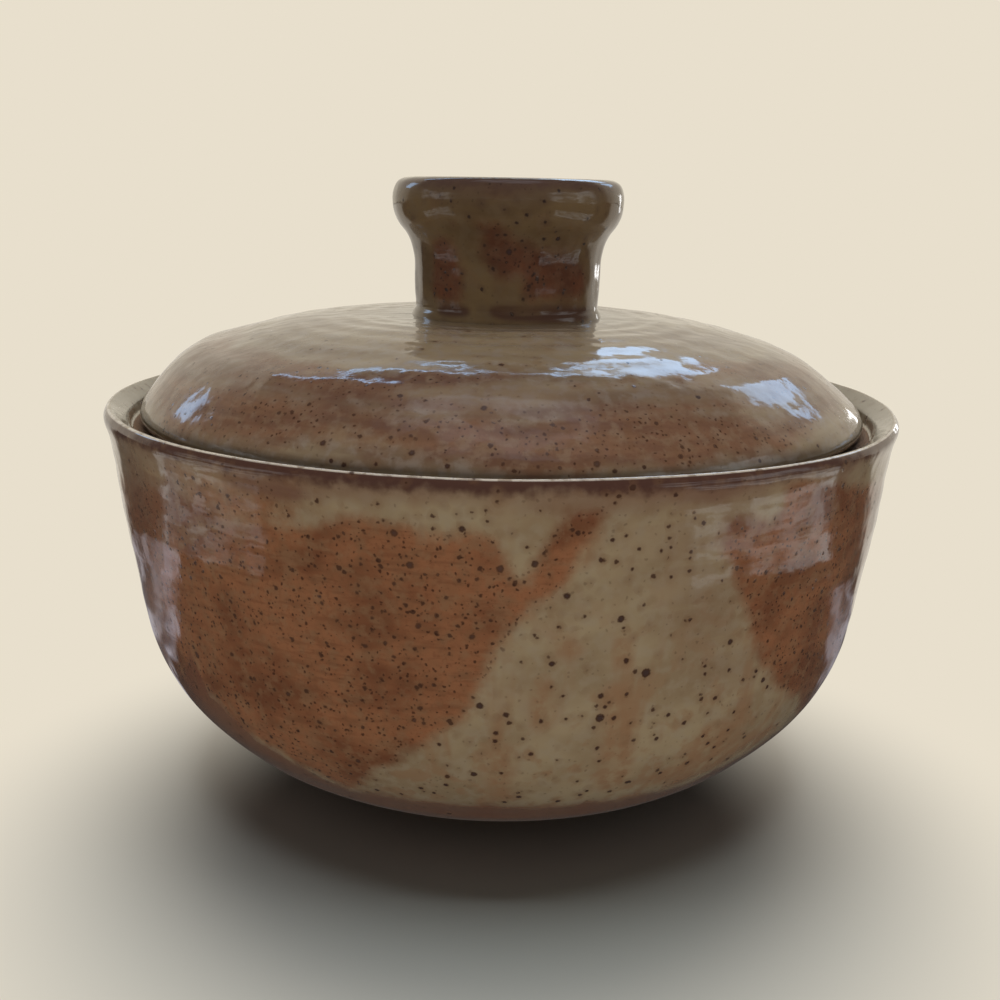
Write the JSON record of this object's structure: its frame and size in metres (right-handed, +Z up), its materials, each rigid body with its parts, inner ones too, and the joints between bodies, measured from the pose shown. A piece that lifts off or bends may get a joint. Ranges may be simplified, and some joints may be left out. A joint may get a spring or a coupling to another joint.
{
  "type": "covered casserole dish",
  "caption": "Round covered casserole dish in glazed stoneware: a footed bowl with a ledge inside its rim, on which a loose domed lid with a hollow collar knob rests.",
  "frame": {"origin": "centre of the foot ring, on the table that the dish stands on", "axes": "+Z up along the axis that the dish was thrown on; the picture was taken from the -Y side"},
  "size_m": [0.21, 0.21, 0.1577],
  "materials": {
    "bowl_glaze": "glossy poured glaze, red-brown over olive tan, with iron speckles",
    "lid_glaze": "glossy glaze in brown and tan bands, with iron speckles",
    "knob_glaze": "glossy dark brown and olive glaze"
  },
  "bodies": {
    "bowl": {"bowl": "bowl_glaze"},
    "lid": {"lid": "lid_glaze", "knob": "knob_glaze"}
  },
  "joints": [
    {"name": "lid_lift", "type": "slide", "parent": "bowl", "child": "lid", "axis": [0, 0, 1], "range_m": [0, 0.15]}
  ]
}
